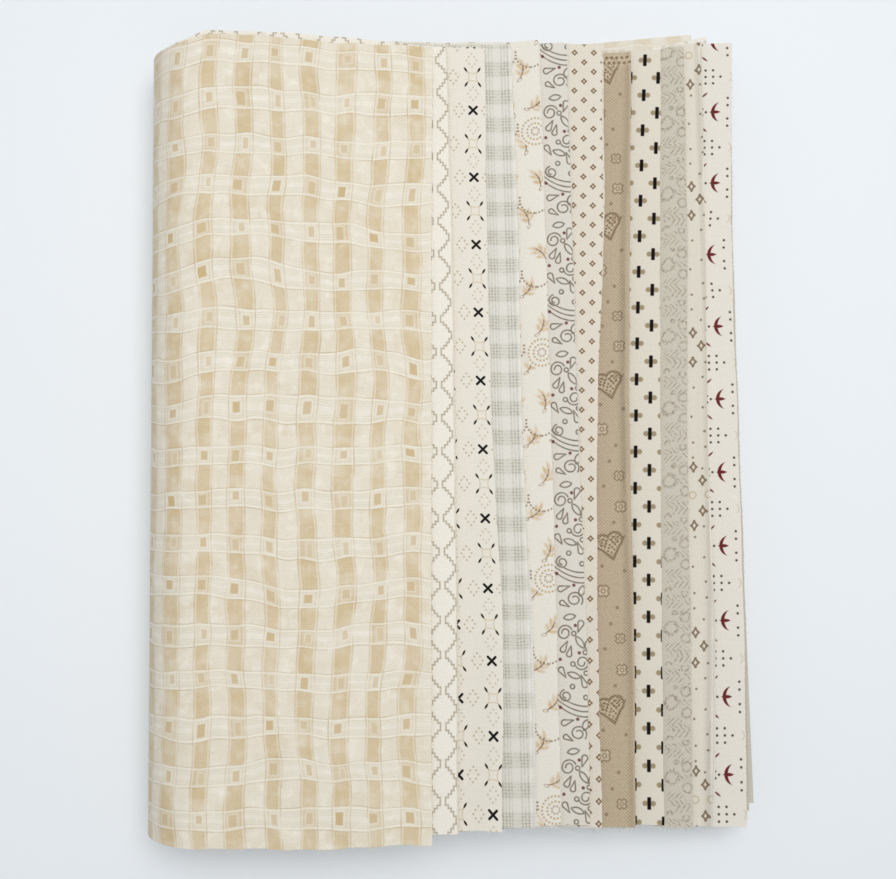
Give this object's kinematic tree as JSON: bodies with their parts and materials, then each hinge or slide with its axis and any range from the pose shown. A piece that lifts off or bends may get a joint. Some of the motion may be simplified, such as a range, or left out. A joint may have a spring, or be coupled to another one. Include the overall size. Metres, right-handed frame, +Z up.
{
  "type": "fabric strip bundle",
  "caption": "Bundle of printed cotton cloths, each folded double, laid in a fan and turned over together round one soft fold, with stepped edges down the open side.",
  "frame": {"origin": "middle of the footprint, on the surface that the bundle lies on", "axes": "+X from the fold towards the stepped open edges, +Y along the fold, +Z up through the layers"},
  "size_m": [0.1772, 0.2452, 0.0368],
  "materials": {
    "tan_ribbon_check": "matte plain-weave cotton printed with an uneven woven ribbon check in cream and tan",
    "cream_quatrefoil": "matte plain-weave cotton, cream with stepped quatrefoil outlines in grey-brown",
    "cream_crosses": "matte plain-weave cotton, cream with small black crosses and tan dotted stars",
    "grey_plaid": "matte plain-weave cotton with a fine grey plaid",
    "cream_sprigs": "matte plain-weave cotton, cream with tan sprigs and dotted scallops",
    "mauve_grey_paisley": "matte plain-weave cotton, pale mauve-grey with line-drawn swirls and leaves",
    "beige_diamonds": "matte plain-weave cotton, beige-cream with small hollow brown diamonds",
    "taupe_hearts": "matte plain-weave cotton, taupe with scrolled hearts in brown and beige",
    "cream_bars": "matte plain-weave cotton, cream with upright black bars and olive dots",
    "grey_herringbone": "matte plain-weave cotton, grey with tone-on-tone herringbone and rings",
    "cream_diamonds": "matte plain-weave cotton, cream with hollow taupe diamonds and dots",
    "cream_birds": "matte plain-weave cotton, off-white with dark red birds and black dots",
    "plain_stone": "matte plain-weave cotton, plain stone grey"
  },
  "bodies": {
    "root": {"cloth_ribbon_check": "tan_ribbon_check", "cloth_stepped_quatrefoil": "cream_quatrefoil", "cloth_crosses_and_dots": "cream_crosses", "cloth_grey_plaid": "grey_plaid", "cloth_sprigs": "cream_sprigs", "cloth_paisley": "mauve_grey_paisley", "cloth_small_diamonds": "beige_diamonds", "cloth_taupe_hearts": "taupe_hearts", "cloth_bars_and_dots": "cream_bars", "cloth_grey_herringbone": "grey_herringbone", "cloth_diamonds_and_dots": "cream_diamonds", "cloth_red_birds": "cream_birds", "cloth_plain_stone": "plain_stone"}
  },
  "joints": []
}
